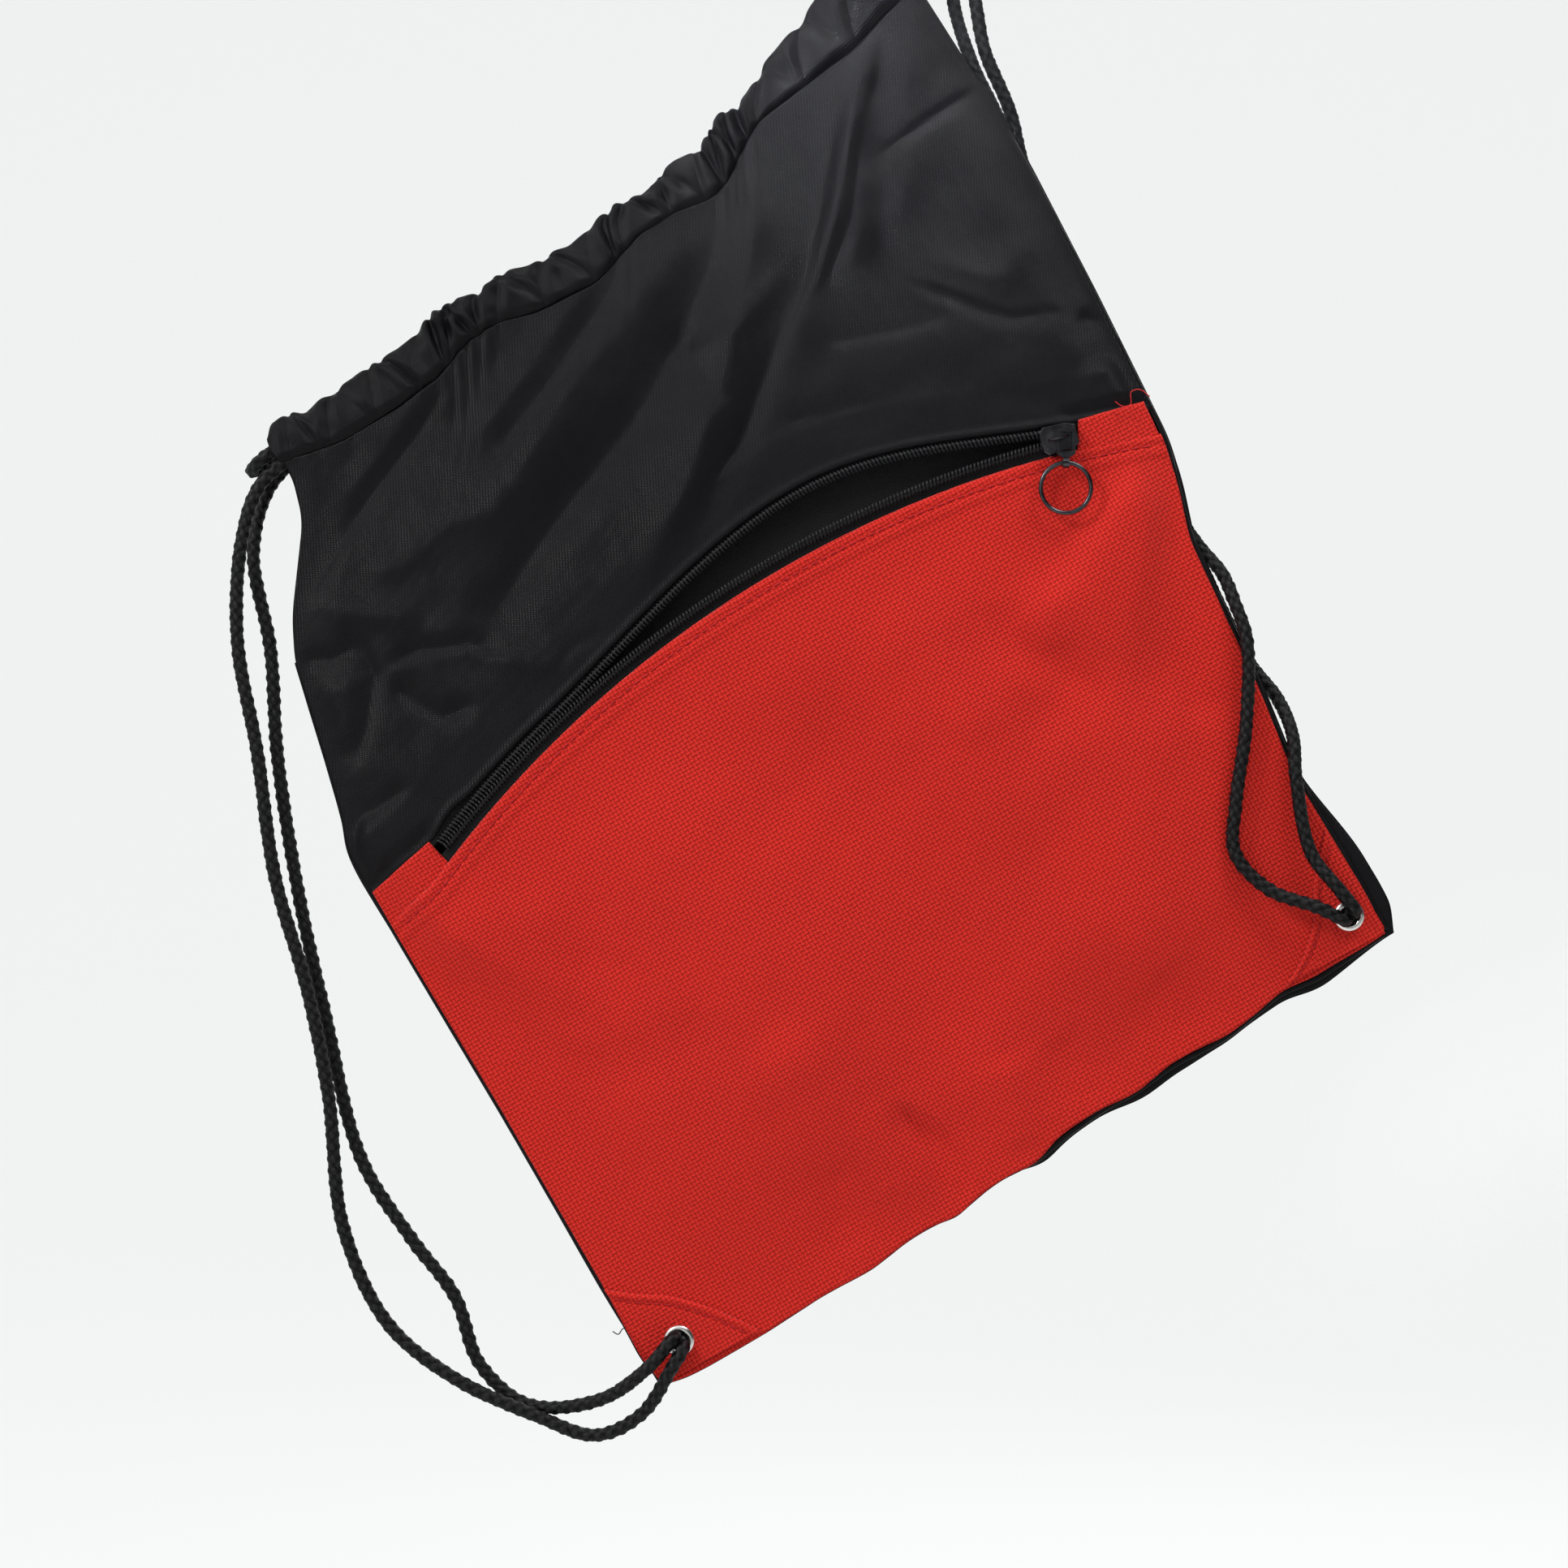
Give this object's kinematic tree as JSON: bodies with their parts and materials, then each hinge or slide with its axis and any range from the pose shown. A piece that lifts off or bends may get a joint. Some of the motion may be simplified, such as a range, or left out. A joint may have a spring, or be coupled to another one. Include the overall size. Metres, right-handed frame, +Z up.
{
  "type": "drawstring backpack",
  "caption": "Flat drawstring backpack with gathered cord casings, arched zip pocket across the front, corner eyelets and doubled cords used as shoulder straps; hangs empty from one top corner.",
  "frame": {"origin": "top of the right-hand drawcords, where they hang over the hand or hook that holds the bag", "axes": "+Z up, against gravity, as the bag hangs; +Y into the bag from its zip-pocket side, which faces -Y; +X to the right seen from that side. The bag's own bottom edge is turned 30 degrees up from +X because it hangs from its right corner."},
  "size_m": [0.4448, 0.0343, 0.5818],
  "materials": {
    "black_nylon": "satin woven nylon",
    "red_polyester": "matt basket-weave polyester",
    "black_cord": "braided polyester",
    "zip_tape": "herringbone woven tape",
    "zip_coil": "moulded nylon coil",
    "eyelet_metal": "bright nickel plate",
    "zip_metal": "gunmetal enamel"
  },
  "bodies": {
    "bag": {"back_panel": "black_nylon", "front_upper_panel": "black_nylon", "pocket_lining": "black_nylon", "casing_front": "black_nylon", "casing_back": "black_nylon", "side_seam_left": "black_nylon", "side_seam_right": "black_nylon", "bottom_seam": "black_nylon", "pocket_panel": "red_polyester", "zip_end_tab_left": "red_polyester", "zip_end_tab_right": "red_polyester", "corner_patch_left": "red_polyester", "corner_patch_right": "red_polyester", "drawcord_left": "black_cord", "drawcord_right": "black_cord", "cord_knot_left": "black_cord", "cord_knot_right": "black_cord", "zip_tape_lower": "zip_tape", "zip_coil_lower": "zip_coil", "eyelet_left": "eyelet_metal", "eyelet_right": "eyelet_metal", "eyelet_washer_left": "eyelet_metal", "eyelet_washer_right": "eyelet_metal"},
    "lip": {"zip_tape_upper": "zip_tape", "zip_coil_upper": "zip_coil"},
    "slider": {"zip_slider": "zip_metal"},
    "puller": {"zip_puller": "zip_metal"},
    "ring": {"pull_ring": "zip_metal"}
  },
  "joints": [
    {"name": "zip_slide", "type": "hinge", "parent": "bag", "child": "slider", "pos_m": [0.15271, 0, -0.61628], "axis": [0, -1, 0], "range_deg": [0, 37]},
    {"name": "lip_close", "type": "slide", "parent": "bag", "child": "lip", "axis": [0.5, 0, -0.866], "range_m": [0, 0.015], "deforming": ["zip_tape_upper", "zip_coil_upper"]},
    {"name": "puller_swing", "type": "hinge", "parent": "slider", "child": "puller", "pos_m": [0.04554, -0.0106, -0.19231], "axis": [0, -1, 0], "range_deg": [-22, 75]},
    {"name": "ring_lift", "type": "hinge", "parent": "puller", "child": "ring", "pos_m": [0.04554, -0.0106, -0.20251], "axis": [-1, 0, 0], "range_deg": [0, 150]}
  ],
  "couplings": [
    {"joint": "lip_close", "follows": "zip_slide", "m_per_rad": 0.023226}
  ]
}
